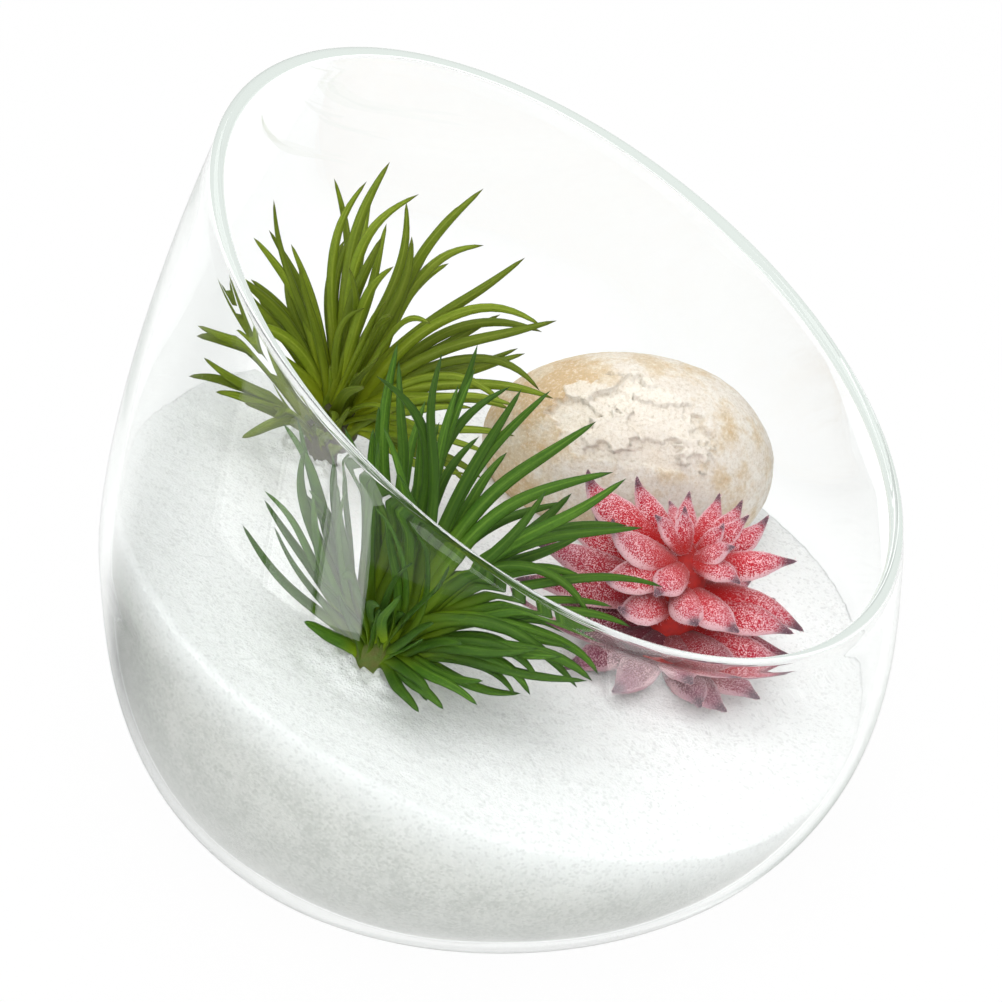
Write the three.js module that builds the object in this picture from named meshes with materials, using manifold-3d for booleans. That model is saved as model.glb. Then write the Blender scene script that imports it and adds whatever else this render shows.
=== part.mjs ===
// Plant terrarium: a blown glass bowl with a slanted mouth holds a sloping bed of fine sand,
// two grassy tufts, a flocked succulent rosette and an oval pebble.
// Millimetres, +Z up. The origin is the middle of the foot's underside, +X points to the low
// side of the mouth, and the bowl is symmetric about the XZ plane.

import * as THREE from 'three';
import { mergeVertices } from 'three/addons/utils/BufferGeometryUtils.js';
import Module from 'manifold-3d';

const wasm = await Module();
wasm.setup();

// ---- Driving dimensions ----

const clearance = 0.35; // between pieces that touch
const sandClearance = 0.55; // between the flat-sided sand and the flat-sided glass

// Bowl: a superellipse below the belly and a flatter power curve above it
const bellyRadius = 75;
const bellyHeight = 53.3;
const lowerReach = 67.6;
const lowerPower = 2.95;
const upperReach = 176;
const upperPower = 1.44;
const mouthHeight = 105.8; // height of the mouth's plane on the bowl's axis
const mouthSlope = 0.648; // fall of that plane toward +X
const wallThickness = 2.2;
const floorThickness = 2.6;
const rimRadius = 1.35; // fire-polished bead
const heelRadius = 2.2; // rounding between foot and wall
const bowlSides = 48;
const wallRows = 13;
const lowRowBias = 1.6; // the rows crowd toward the heel, where the wall bends most
const rimSteps = 5;

// Sand: its top falls toward the low side of the mouth
const sandLevel = 42.4; // on the bowl's axis
const sandFallX = 0.327;
const sandFallY = 0.093;
const sandTwist = 0.00133;
const sandSwell = 0.5; // half the height of its soft waves
const sandWaveX = 9;
const sandWaveY = 11;
const sandRows = 8;
const sandRings = 6;

// Plants
const bodySides = 12;
const holeRise = 12; // how far a root's hole is cut above the foot, to pass out of the sand
const bladeThickness = 1;
const tipThickness = 0.62;
const leastHalfWidth = 0.32;
const arcSteps = 24; // steps in which a leaf's bend is worked out
const topLift = 0.42; // a fat leaf's height over its half width, above and below
const backLift = 0.6;

// The side that the plants are arranged to show: a direction by azimuth and elevation
const showAzimuth = 25;
const showElevation = 31;

const degrees = THREE.MathUtils.degToRad;
const vector = (x, y, z) => new THREE.Vector3(x, y, z);
const { lerp } = THREE.MathUtils;
const down = vector(0, 0, -1);

// ---- Solids and geometry ----

// A draw from 0 to 1, the same for the same leaf and draw.
function draw(leaf, number) {
  const spread = Math.sin(leaf * 12.9898 + number * 78.233) * 43758.5453;
  return spread - Math.floor(spread);
}

// A closed skin over a stack of rings with equal point counts, with a fan at each end.
function skin(rings) {
  const sides = rings[0].length;
  const middle = (ring) => ring.reduce((sum, point) => sum.add(point), vector(0, 0, 0)).divideScalar(sides);
  const points = [...rings.flat(), middle(rings[0]), middle(rings[rings.length - 1])];
  const firstMiddle = rings.length * sides;
  const faces = [];
  for (let row = 0; row + 1 < rings.length; row += 1) {
    for (let side = 0; side < sides; side += 1) {
      const here = row * sides + side;
      const next = row * sides + ((side + 1) % sides);
      faces.push(here, next, next + sides, here, next + sides, here + sides);
    }
  }
  const lastRow = (rings.length - 1) * sides;
  for (let side = 0; side < sides; side += 1) {
    const next = (side + 1) % sides;
    faces.push(firstMiddle, next, side, firstMiddle + 1, lastRow + side, lastRow + next);
  }
  const geometry = new THREE.BufferGeometry().setFromPoints(points);
  geometry.setIndex(faces);
  return geometry;
}

function solid(geometry) {
  const bare = geometry.clone();
  bare.deleteAttribute('normal');
  bare.deleteAttribute('uv');
  const merged = mergeVertices(bare, 1e-4);
  return new wasm.Manifold(new wasm.Mesh({
    numProp: 3,
    vertProperties: new Float32Array(merged.attributes.position.array),
    triVerts: new Uint32Array(merged.index.array),
  }));
}

function geometryOf(manifold) {
  const mesh = manifold.getMesh();
  const geometry = new THREE.BufferGeometry();
  geometry.setAttribute('position', new THREE.BufferAttribute(mesh.vertProperties, 3));
  geometry.setIndex(new THREE.BufferAttribute(mesh.triVerts, 1));
  geometry.computeVertexNormals();
  return geometry;
}

function circlePoint(radius, angle, height) {
  return vector(radius * Math.cos(angle), radius * Math.sin(angle), height);
}

// `count` values from 0 up to just under 1.
function steps(count) {
  return Array.from({ length: count }, (_, step) => step / count);
}

const sideAngles = steps(bowlSides).map((part) => 2 * Math.PI * part);

// ---- Glass bowl ----

function outerRadius(height) {
  if (height < bellyHeight) {
    const drop = Math.pow((bellyHeight - height) / lowerReach, lowerPower);
    return bellyRadius * Math.pow(1 - drop, 1 / lowerPower);
  }
  return bellyRadius * (1 - Math.pow((height - bellyHeight) / upperReach, upperPower));
}

// A point in the wall, `depth` in from the outside: [radius, height].
function wallPoint(height, depth) {
  const step = 0.05;
  const slope = (outerRadius(height + step) - outerRadius(height - step)) / (2 * step);
  const normal = Math.hypot(1, slope);
  return [outerRadius(height) - depth / normal, height + (depth * slope) / normal];
}

// The station on the outside whose point at `depth` lies at `height`.
function stationAt(height, depth) {
  let station = height;
  for (let pass = 0; pass < 40; pass += 1) {
    station += height - wallPoint(station, depth)[1];
  }
  return station;
}

function rimHeight(angle) {
  let height = mouthHeight;
  for (let pass = 0; pass < 60; pass += 1) {
    height = mouthHeight - mouthSlope * outerRadius(height) * Math.cos(angle);
  }
  return height;
}

// The rim's bead is half a circle from the outside of the wall, `turn` 0, over the top to the inside.
function beadPoint(angle, turn) {
  const station = rimHeight(angle) - rimRadius;
  const outside = new THREE.Vector2(...wallPoint(station, 0));
  const inside = new THREE.Vector2(...wallPoint(station, wallThickness));
  const middle = outside.clone().lerp(inside, 0.5);
  const across = outside.sub(inside).normalize();
  const reach = new THREE.Vector2(rimRadius, 0).rotateAround(new THREE.Vector2(), turn + across.angle());
  return circlePoint(middle.x + reach.x, angle, middle.y + reach.y);
}

function bowlGeometry() {
  const footRadius = outerRadius(0) - heelRadius;
  const floorStation = stationAt(floorThickness, wallThickness);
  const flatRing = (radius, height) => sideAngles.map((angle) => circlePoint(radius, angle, height));
  const wallRing = (lowest, part, depth) => sideAngles.map((angle) => {
    const station = lerp(lowest, rimHeight(angle) - rimRadius, Math.pow(part, lowRowBias));
    const [radius, height] = wallPoint(station, depth);
    return circlePoint(radius, angle, height);
  });
  const heel = new THREE.QuadraticBezierCurve(
    new THREE.Vector2(footRadius, 0),
    new THREE.Vector2(outerRadius(0), 0),
    new THREE.Vector2(outerRadius(heelRadius), heelRadius),
  );
  const rows = steps(wallRows);
  const turns = [...steps(rimSteps), 1].map((part) => Math.PI * part);
  return skin([
    flatRing(footRadius / 2, 0),
    flatRing(footRadius, 0),
    flatRing(...heel.getPoint(0.5).toArray()),
    ...rows.map((part) => wallRing(heelRadius, part, 0)),
    ...turns.map((turn) => sideAngles.map((angle) => beadPoint(angle, turn))),
    ...rows.toReversed().map((part) => wallRing(floorStation, part, wallThickness)),
    flatRing(wallPoint(floorStation, wallThickness)[0] / 2, floorThickness),
  ]);
}

// ---- Sand bed ----

function sandHeight(x, y) {
  const swell = sandSwell * Math.sin(x / sandWaveX + 1) * Math.cos(y / sandWaveY);
  return sandLevel - sandFallX * x - sandFallY * y + sandTwist * x * y + swell;
}

// The station on the inside of the glass that the sand's top reaches.
function sandEdge(angle, depth) {
  let station = sandLevel;
  for (let pass = 0; pass < 80; pass += 1) {
    const [radius, height] = wallPoint(station, depth);
    const place = circlePoint(radius, angle, height);
    station += 0.6 * (sandHeight(place.x, place.y) - height);
  }
  return station;
}

function sandGeometry() {
  const depth = wallThickness + sandClearance;
  const bottom = stationAt(floorThickness + clearance, depth);
  const sideRing = (part) => sideAngles.map((angle) => {
    const station = lerp(bottom, sandEdge(angle, depth), Math.pow(part, lowRowBias));
    const [radius, height] = wallPoint(station, depth);
    return circlePoint(radius, angle, height);
  });
  const edge = sideRing(1);
  const topRing = (part) => edge.map((point) => {
    const [x, y] = [point.x * part, point.y * part];
    return vector(x, y, sandHeight(x, y));
  });
  const floor = sideRing(0).map((point) => vector(point.x / 2, point.y / 2, point.z));
  return skin([
    floor,
    ...steps(sandRows).map(sideRing),
    edge,
    ...steps(sandRings).slice(1).toReversed().map(topRing),
  ]);
}

// ---- Plants: directions as seen from the side that they show ----

const showRight = circlePoint(1, degrees(showAzimuth), 0);
const showFront = vector(
  Math.sin(degrees(showAzimuth)) * Math.cos(degrees(showElevation)),
  -Math.cos(degrees(showAzimuth)) * Math.cos(degrees(showElevation)),
  Math.sin(degrees(showElevation)),
);
const showUp = showFront.clone().cross(showRight);

// `clock` is the angle from upright on the face of a clock, `lean` the angle toward the viewer.
function seenDirection(clock, lean) {
  return vector(0, 0, 0)
    .addScaledVector(showRight, Math.cos(degrees(lean)) * Math.sin(degrees(clock)))
    .addScaledVector(showUp, Math.cos(degrees(lean)) * Math.cos(degrees(clock)))
    .addScaledVector(showFront, Math.sin(degrees(lean)));
}

// Places along an arc that starts in `direction` and bends by `droop` degrees toward the ground.
function bentFrames(start, direction, side, length, droop, stations) {
  const bendAxis = direction.clone().cross(down).normalize();
  const place = start.clone();
  const frames = [];
  let step = 0;
  stations.forEach((station) => {
    while (step < Math.round(station * arcSteps)) {
      const turn = degrees((droop * (step + 0.5)) / arcSteps);
      place.addScaledVector(direction.clone().applyAxisAngle(bendAxis, turn), length / arcSteps);
      step += 1;
    }
    const turn = degrees(droop * station);
    frames.push({
      station,
      place: place.clone(),
      forward: direction.clone().applyAxisAngle(bendAxis, turn),
      side: side.clone().applyAxisAngle(bendAxis, turn),
    });
  });
  return frames;
}

function axisOf(plant) {
  return plant.crown.clone().sub(plant.foot).normalize();
}

// A turned body on the plant's own axis; `profile` lists [radius, distance from the foot].
function turnedOnAxis(plant, profile) {
  const outline = profile.map(([radius, along]) => new THREE.Vector2(radius, along));
  const lathe = new THREE.LatheGeometry(outline, bodySides);
  lathe.applyQuaternion(new THREE.Quaternion().setFromUnitVectors(vector(0, 1, 0), axisOf(plant)));
  lathe.translate(...plant.foot.toArray());
  return solid(lathe);
}

// The plain hole in the sand for a plant's root plug.
function rootHole(plant) {
  const radius = plant.plugRadius + clearance;
  const depth = plant.plugDepth + clearance;
  return turnedOnAxis(plant, [[0, -depth], [radius, -depth], [radius, holeRise], [0, holeRise]]);
}

// A strap leaf of a tuft: four-sided, widest in its lower half, narrowing to a fine tip.
function strapLeaf(start, direction, side, leaf) {
  const stations = [0, 0.3, 0.6, 0.85, 1];
  const shares = [1.2, 0.95, 0.82, 0.62, 0.22];
  const frames = bentFrames(start, direction, side, leaf.length, leaf.droop, stations);
  return solid(skin(frames.map(({ place, forward, side: across }, row) => {
    const half = Math.max(leastHalfWidth, (leaf.width * shares[row]) / 2);
    const thick = lerp(bladeThickness, tipThickness, stations[row]) / 2;
    const face = across.clone().cross(forward);
    return [[1, -1], [1, 1], [-1, 1], [-1, -1]].map(([acrossSign, faceSign]) => place.clone()
      .addScaledVector(across, acrossSign * half)
      .addScaledVector(face, -faceSign * thick));
  })));
}

// A fat pointed leaf of the rosette: six-sided, swelling past its middle, narrowing to a point.
function fatLeaf(start, direction, side, leaf) {
  const stations = [0, 0.42, 0.66, 0.84, 1];
  const shares = [0.6, 1, 0.84, 0.36, 0.08];
  const corners = steps(6).map((part) => 2 * Math.PI * part);
  const frames = bentFrames(start, direction, side, leaf.length, leaf.droop, stations);
  return solid(skin(frames.map(({ place, forward, side: across }, row) => {
    const half = (leaf.width * shares[row]) / 2;
    const upper = across.clone().cross(forward);
    return corners.map((angle) => {
      const lift = Math.sin(angle) > 0 ? topLift : backLift;
      return place.clone()
        .addScaledVector(across, half * Math.cos(angle))
        .addScaledVector(upper, -half * lift * Math.sin(angle));
    });
  })));
}

// How far one leaf may differ from its fan's own even spread, from end to end: angles in degrees,
// length and width as shares. A plant's own `spread` narrows this, and its `show` is how far its
// leaves turn their upper faces from its own axis to the shown side.
const leafSpread = { clock: 7, lean: 9, length: 0.1, droop: 10, width: 0.2, twist: 24 };

// Leaf number `leaf` of a plant, at `part` of the way from the first leaf of its fan to the last.
function fanLeaf(plant, { clock, lean, length, droop, width, low }, part, leaf) {
  const axis = axisOf(plant);
  const vary = (name, number) => (draw(leaf, number) - 0.5) * leafSpread[name] * plant.spread;
  const direction = seenDirection(
    lerp(...clock, part) + vary('clock', 1),
    lerp(...lean, part) + vary('lean', 2),
  );
  const outward = direction.clone().projectOnPlane(axis).normalize();
  const start = plant.crown.clone().lerp(plant.foot, low).addScaledVector(outward, plant.rootRadius);
  const faced = axis.clone().lerp(showFront, plant.show);
  const side = direction.clone().cross(faced).normalize();
  side.applyAxisAngle(direction, degrees(vary('twist', 6)));
  return plant.leafForm(start, direction, side, {
    length: lerp(...length, part) * (1 + vary('length', 3)),
    droop: lerp(...droop, part) + vary('droop', 4),
    width: lerp(...width, part) * (1 + vary('width', 5)),
  });
}

// A plant: its root plug and heart in one turned body, with fans of leaves rooted in the heart.
function plantSolid(plant) {
  const height = plant.crown.distanceTo(plant.foot);
  const { plugRadius, plugDepth, heartRadius, topRadius } = plant;
  let whole = turnedOnAxis(plant, [
    [0, -plugDepth],
    [plugRadius * 0.7, -plugDepth],
    [plugRadius, -plugDepth * 0.5],
    [plugRadius, 2],
    [heartRadius, height * 0.55],
    [topRadius, height * 0.92],
    [0, height + 1.2],
  ]);
  let leaf = plant.firstLeaf;
  plant.fans.forEach((plantFan) => {
    for (let number = 0; number < plantFan.leaves; number += 1) {
      whole = whole.add(fanLeaf(plant, plantFan, number / (plantFan.leaves - 1), leaf));
      leaf += 1;
    }
  });
  return whole;
}

// A fan spreads its leaves evenly between two ends, each pair holding its first and last leaf's
// value. `low` is where the leaves start, from the crown at 0 down to the foot at 1.
function fan(leaves, clock, lean, length, droop, width, low) {
  return { leaves, clock, lean, length, droop, width, low };
}

const oliveTuft = {
  foot: vector(-42.2, 7.6, 55.1),
  crown: vector(-38, 11.2, 66.8),
  plugRadius: 4.5,
  plugDepth: 12,
  heartRadius: 5,
  topRadius: 4.2,
  rootRadius: 2.24,
  firstLeaf: 0,
  spread: 1,
  show: 0.45,
  leafForm: strapLeaf,
  fans: [
    fan(6, [-12, 31], [26, 24], [42, 50], [12, 6], [2.6, 3.4], 0),
    fan(4, [4, 36], [4, -2], [40, 44], [14, 10], [2.5, 2.8], 0),
    fan(6, [32, 56], [26, 26], [48, 43], [46, 60], [2.8, 2.9], 0.1),
    fan(6, [68, 112], [38, 34], [42, 30], [26, 6], [2.9, 2.6], 0.25),
    fan(5, [-6, 34], [44, 50], [34, 37], [8, 8], [2.5, 2.5], 0.1),
    fan(4, [-14, -32], [26, 34], [38, 34], [18, 20], [2.8, 3.4], 0.1),
    fan(2, [-24, -28], [36, 40], [36, 35], [56, 46], [3, 4.6], 0.2),
    fan(2, [-60, -70], [24, 26], [29, 30], [6, 4], [3.2, 3.2], 0.4),
    fan(4, [70, -84], [58, 60], [30, 27], [36, 30], [2.6, 2.8], 0.3),
    fan(4, [-62, 56], [44, 48], [20, 20], [8, 8], [3.6, 3.6], 0.6),
  ],
};

const greenTuft = {
  foot: vector(-5.3, -43.5, 48.5),
  crown: vector(-3.4, -41.4, 55.4),
  plugRadius: 5,
  plugDepth: 12,
  heartRadius: 5.6,
  topRadius: 4.6,
  rootRadius: 2.52,
  firstLeaf: 60,
  spread: 1,
  show: 0.45,
  leafForm: strapLeaf,
  fans: [
    fan(2, [-52, -38], [14, 4], [33, 33], [-18, -12], [3, 2.8], 0.5),
    fan(4, [-36, -20], [22, 24], [44, 38], [-22, -16], [3, 3.4], 0.3),
    fan(4, [10, 26], [16, 20], [52, 56], [-26, -46], [2.8, 2.9], 0),
    fan(4, [14, 30], [2, -4], [43, 52], [-18, -20], [2.7, 2.9], 0),
    fan(3, [24, 36], [8, 10], [48, 52], [2, 10], [3, 3.2], 0),
    fan(6, [30, 54], [18, 14], [52, 50], [42, 58], [3.4, 3.2], 0.1),
    fan(7, [56, 98], [20, 30], [45, 27], [54, 18], [3.4, 3.2], 0.4),
    fan(3, [98, 132], [46, 58], [25, 19], [16, 4], [3.6, 3.2], 0.5),
    fan(2, [58, 38], [42, 46], [40, 36], [-84, -70], [3.2, 3], 0.3),
    fan(3, [46, 34], [30, 26], [38, 46], [124, 112], [3.2, 3], 0.2),
    fan(4, [-34, 40], [52, 54], [30, 34], [10, 10], [3, 2.8], 0.3),
    fan(5, [-52, 72], [48, 46], [18, 20], [8, 10], [3.8, 3.8], 0.62),
  ],
};

const redRosette = {
  foot: vector(31, 4.5, 31.5),
  crown: vector(34.6, 8.6, 53.8),
  plugRadius: 5,
  plugDepth: 9,
  heartRadius: 5.8,
  topRadius: 3.4,
  rootRadius: 1.7,
  firstLeaf: 120,
  spread: 0.4,
  show: 0.6,
  leafForm: fatLeaf,
  fans: [
    fan(3, [-40, 44], [44, 34], [12, 9], [0, 0], [4.2, 3.6], 0),
    fan(2, [66, 118], [46, 42], [11, 12], [0, 0], [4.6, 5], 0.05),
    fan(2, [-36, 44], [-6, 10], [17, 13], [-10, 10], [5, 4.2], 0.08),
    fan(4, [-14, 50], [-44, -30], [15, 16], [0, -16], [4.4, 5], 0.1),
    fan(2, [70, 88], [-24, 12], [18, 19], [-26, -8], [5.6, 6], 0.14),
    fan(2, [-47, -62], [4, 44], [25, 23], [4, 0], [7.8, 7], 0.16),
    fan(2, [-124, -98], [60, 38], [13.5, 20], [0, 0], [6.4, 7], 0.14),
    fan(2, [156, 128], [64, 50], [15, 18], [0, 0], [7, 7], 0.34),
    fan(2, [98, 105], [-28, 2], [19, 23], [4, 10], [6.4, 7.4], 0.36),
    fan(2, [-52, -61], [-34, -12], [23, 25], [0, 0], [6.6, 6.8], 0.34),
    fan(2, [-67, -75], [12, 18], [28, 30], [0, 6], [7.4, 7.2], 0.46),
    fan(2, [-100, 106], [50, 14], [17, 21], [0, 0], [7, 7], 0.46),
    fan(2, [103, 108], [6, 18], [22, 23], [0, 4], [6, 7], 0.7),
    fan(2, [125, 160], [46, 52], [20, 17], [-8, -10], [7.4, 7], 0.74),
    fan(3, [-84, -138], [20, 42], [25, 22], [0, -6], [7.2, 7.6], 0.72),
    fan(4, [108, 160], [17, 44], [23, 19], [-10, -16], [7, 7], 0.87),
    fan(4, [-70, 76], [-44, -44], [20, 20], [0, 0], [6.6, 6.6], 0.5),
    fan(3, [-34, 56], [-60, -62], [19, 19], [-8, -10], [6.4, 6.4], 0.68),
  ],
};

// ---- Pebble ----

const stone = {
  middle: vector(6.2, 45.3, 47.6),
  reach: vector(28.9, 18, 21), // half its length, depth and height
  tilt: 13, // its long axis falls to the right
  swell: 0.07, // fuller at its right end
};

// The broken patch high on the shown face, in the units of the pebble's own half sizes.
const chip = {
  middle: vector(-0.1, -0.62, 0.62),
  squeeze: vector(0.9, 0.9, 1.3),
  reach: 0.42,
  raggedness: 0.05,
  depth: 0.7,
};

function chipDepth(unit) {
  const away = unit.clone().sub(chip.middle).multiply(chip.squeeze).length();
  const ragged = chip.raggedness * (Math.sin(unit.x * 17) + Math.cos(unit.z * 21));
  return away < chip.reach + ragged ? chip.depth : 0;
}

// The pebble, widened on all sides by `grow`, with the patch broken out where it is `chipped`.
function stoneGeometry(grow, chipped) {
  const geometry = new THREE.SphereGeometry(1, 26, 16);
  const places = geometry.attributes.position;
  for (let number = 0; number < places.count; number += 1) {
    const unit = vector(0, 0, 0).fromBufferAttribute(places, number);
    const swell = 1 + stone.swell * unit.x;
    const reach = stone.reach.clone().addScalar(grow - (chipped ? chipDepth(unit) : 0));
    const place = unit.multiply(reach).multiply(vector(1, swell, swell));
    places.setXYZ(number, ...place.toArray());
  }
  geometry.rotateY(degrees(stone.tilt));
  geometry.rotateZ(degrees(showAzimuth));
  geometry.translate(...stone.middle.toArray());
  return geometry;
}

// ---- Assembly ----

function piece(name, manifold, look) {
  const mesh = new THREE.Mesh(geometryOf(manifold), new THREE.MeshStandardMaterial(look));
  mesh.name = name;
  return mesh;
}

const sand = solid(sandGeometry())
  .subtract(rootHole(oliveTuft))
  .subtract(rootHole(greenTuft))
  .subtract(rootHole(redRosette))
  .subtract(solid(stoneGeometry(clearance, false)));

const group = new THREE.Group();
group.add(
  piece('glass_bowl', solid(bowlGeometry()), {
    color: 0xe9f1ef, roughness: 0.02, metalness: 0, transparent: true, opacity: 0.3,
  }),
  piece('sand_bed', sand, { color: 0xf2f3f0, roughness: 0.95, metalness: 0 }),
  piece('olive_tuft', plantSolid(oliveTuft), { color: 0x6b7f24, roughness: 0.5, metalness: 0 }),
  piece('green_tuft', plantSolid(greenTuft), { color: 0x2f6a30, roughness: 0.5, metalness: 0 }),
  piece('red_rosette', plantSolid(redRosette), { color: 0xb94a55, roughness: 0.85, metalness: 0 }),
  piece('river_stone', solid(stoneGeometry(0, true)), { color: 0xd9cab0, roughness: 0.7, metalness: 0 }),
);

export default group;
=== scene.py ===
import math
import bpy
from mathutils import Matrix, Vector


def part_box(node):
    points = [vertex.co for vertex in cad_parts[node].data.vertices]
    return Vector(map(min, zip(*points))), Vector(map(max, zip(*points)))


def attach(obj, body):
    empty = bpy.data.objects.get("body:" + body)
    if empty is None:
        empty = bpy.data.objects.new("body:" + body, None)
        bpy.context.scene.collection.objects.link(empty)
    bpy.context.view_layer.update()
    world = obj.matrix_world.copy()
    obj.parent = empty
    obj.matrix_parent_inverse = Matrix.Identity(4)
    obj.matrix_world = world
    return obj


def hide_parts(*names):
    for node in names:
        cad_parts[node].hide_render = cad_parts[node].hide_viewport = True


bl_info = {
    "name": "Glass plant terrarium",
    "version": (1, 0, 0),
    "blender": (4, 5, 0),
    "location": "View3D > Sidebar > Terrarium",
    "description": "Makes a slant-cut glass bowl planted with tufts, a rosette and a pebble",
    "category": "Add Mesh",
}

from collections import namedtuple

import bpy
import numpy as np
from bpy.props import FloatProperty, FloatVectorProperty, PointerProperty
from mathutils import Vector, noise

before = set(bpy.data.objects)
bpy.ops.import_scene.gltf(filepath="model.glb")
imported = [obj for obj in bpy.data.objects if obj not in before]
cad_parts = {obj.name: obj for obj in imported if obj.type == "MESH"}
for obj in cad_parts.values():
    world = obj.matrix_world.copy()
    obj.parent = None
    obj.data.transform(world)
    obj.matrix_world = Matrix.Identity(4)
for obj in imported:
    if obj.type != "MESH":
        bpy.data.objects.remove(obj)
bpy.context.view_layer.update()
BOWL_LOW, BOWL_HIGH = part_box("glass_bowl")

MM = 0.001
UP = np.array([0.0, 0.0, 1.0])

# From this many reflections on, light is taken to be led along in the glass, and each surface that
# it meets there adds this much painted glow, an emission that stands in for the light led along it
GUIDED_DEPTH = 2
PAINTED_GUIDED_GLOW = (0.205, 0.22, 0.21)


def direction_of(azimuth, elevation):
    """The direction toward an azimuth, 0 being the front at -Y, and an elevation, both in degrees."""
    azimuth, elevation = math.radians(azimuth), math.radians(elevation)
    return np.array([
        math.sin(azimuth) * math.cos(elevation),
        -math.cos(azimuth) * math.cos(elevation),
        math.sin(elevation),
    ])


# The side that the planting shows, which is also the camera's
SHOWN_AZIMUTH = 25
SHOWN_ELEVATION = 31
SHOWN_FRONT = direction_of(SHOWN_AZIMUTH, SHOWN_ELEVATION)
SHOWN_RIGHT = direction_of(SHOWN_AZIMUTH + 90, 0)
SHOWN_UP = np.cross(SHOWN_FRONT, SHOWN_RIGHT)


# ---- Sizes and colours that a user would change ----


def size(description, default):
    """A length in metres."""
    return FloatProperty(description=description, default=default, unit="LENGTH", precision=5)


def amount(description, default):
    """A plain number."""
    return FloatProperty(description=description, default=default, precision=4)


def colour(description, default):
    """A linear colour."""
    return FloatVectorProperty(description=description, default=default, subtype="COLOR", min=0, max=1)


class BowlSettings(bpy.types.PropertyGroup):
    """The blown bowl: a superellipse below its belly and a flatter power curve above it."""

    belly_radius: size("Half the bowl's width", round((BOWL_HIGH.y - BOWL_LOW.y) / 2, 4))
    belly_height: size("Height of the widest place", 53.3 * MM)
    lower_reach: size("Depth at which the lower curve would close", 67.6 * MM)
    lower_power: amount("How square the lower curve is", 2.95)
    upper_reach: size("Height at which the upper curve would close", 176 * MM)
    upper_power: amount("How late the upper curve turns in", 1.44)
    mouth_height: size("Height of the mouth's plane on the axis", 105.8 * MM)
    mouth_slope: amount("Fall of the mouth's plane toward the low side", 0.648)
    wall: size("Thickness of the glass", 2.2 * MM)
    floor: size("Thickness of the glass under the sand", 2.6 * MM)
    rim_radius: size("Radius of the fire-polished bead", 1.35 * MM)
    heel_radius: size("Rounding between foot and wall", 2.2 * MM)
    waviness: size("How far the blown wall wanders in thickness", 0.12 * MM)
    tint: colour("Colour of the light that the glass lets through", (0.985, 0.996, 0.99))


class SandSettings(bpy.types.PropertyGroup):
    """The bed of fine sand, whose top falls toward the low side of the mouth."""

    level: size("Height of the sand on the bowl's axis", 42.4 * MM)
    fall_x: amount("Slope toward the low side", 0.327)
    fall_y: amount("Slope toward the back", 0.093)
    twist: amount("How the slope turns over the bed, per metre", 1.33)
    swell: size("Half the height of its soft waves", 0.5 * MM)
    gap: size("Air between the sand and the glass", 0.2 * MM)
    colour: colour("Colour of the sand", (0.86, 0.87, 0.87))


class TuftSettings(bpy.types.PropertyGroup):
    """The leaves of both grassy tufts."""

    base_thickness: size("Thickness of a leaf at its root", 1.0 * MM)
    tip_thickness: size("Thickness of a leaf near its tip", 0.55 * MM)
    channel: amount("How deep a leaf is folded along its midrib", 0.34)
    olive: colour("Colour of the olive tuft", (0.14, 0.205, 0.006))
    green: colour("Colour of the green tuft", (0.045, 0.125, 0.006))


class RosetteSettings(bpy.types.PropertyGroup):
    """The flocked rosette."""

    flesh: colour("Colour of the leaves between the flock", (0.5, 0.012, 0.028))
    flock: colour("Colour of the pale flock", (0.9, 0.62, 0.66))


class PebbleSettings(bpy.types.PropertyGroup):
    """The water-worn pebble."""

    half_length: size("Half of its length", 28.9 * MM)
    half_depth: size("Half of its depth", 18 * MM)
    half_height: size("Half of its height", 21 * MM)
    colour: colour("Colour of the stone", (0.81, 0.74, 0.65))


class StudioSettings(bpy.types.PropertyGroup):
    """Camera, floor and lights."""

    distance: size("From the camera to the point that it looks at", 0.75)
    aim_height: size("Height of the point that the camera looks at", 60.3 * MM)
    lens: amount("Focal length in millimetres on a 36 mm sensor", 144.8)
    floor_colour: colour("Colour of the plain floor", (0.82, 0.82, 0.82))
    floor_glow: amount("How far the floor is lit up from below, to lose its shadows", 0.97)
    glass_gain: amount("Brightness of the floor seen through the glass", 1.05)
    sky_cut: amount("Share of the room's light that the glass doesn't mirror", 0.55)
    sky_strength: amount("Brightness of the room's own soft light", 0.6)


# ---- Modelling helpers ----


def read_points(piece, value="co"):
    """The place, or with "normal" the normal, of each vertex."""
    points = np.empty(len(piece.data.vertices) * 3, np.float32)
    piece.data.vertices.foreach_get(value, points)
    return points.reshape(-1, 3).astype(float)


def write_points(piece, points):
    piece.data.vertices.foreach_set("co", np.asarray(points, np.float32).ravel())
    piece.data.update()


def select_only(*pieces):
    bpy.ops.object.select_all(action="DESELECT")
    for piece in pieces:
        piece.select_set(True)
    bpy.context.view_layer.objects.active = pieces[0]


def new_piece(name):
    """The piece that the last operator made, under its own name."""
    piece = bpy.context.active_object
    piece.name = name
    piece.data.name = name
    return piece


def close_skin(piece):
    """Welds the seam and the poles, turns the faces outwards and shades them smooth."""
    select_only(piece)
    bpy.ops.object.mode_set(mode="EDIT")
    bpy.ops.mesh.select_all(action="SELECT")
    bpy.ops.mesh.remove_doubles(threshold=2e-6)
    bpy.ops.mesh.normals_make_consistent(inside=False)
    bpy.ops.object.mode_set(mode="OBJECT")
    bpy.ops.object.shade_smooth()


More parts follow.
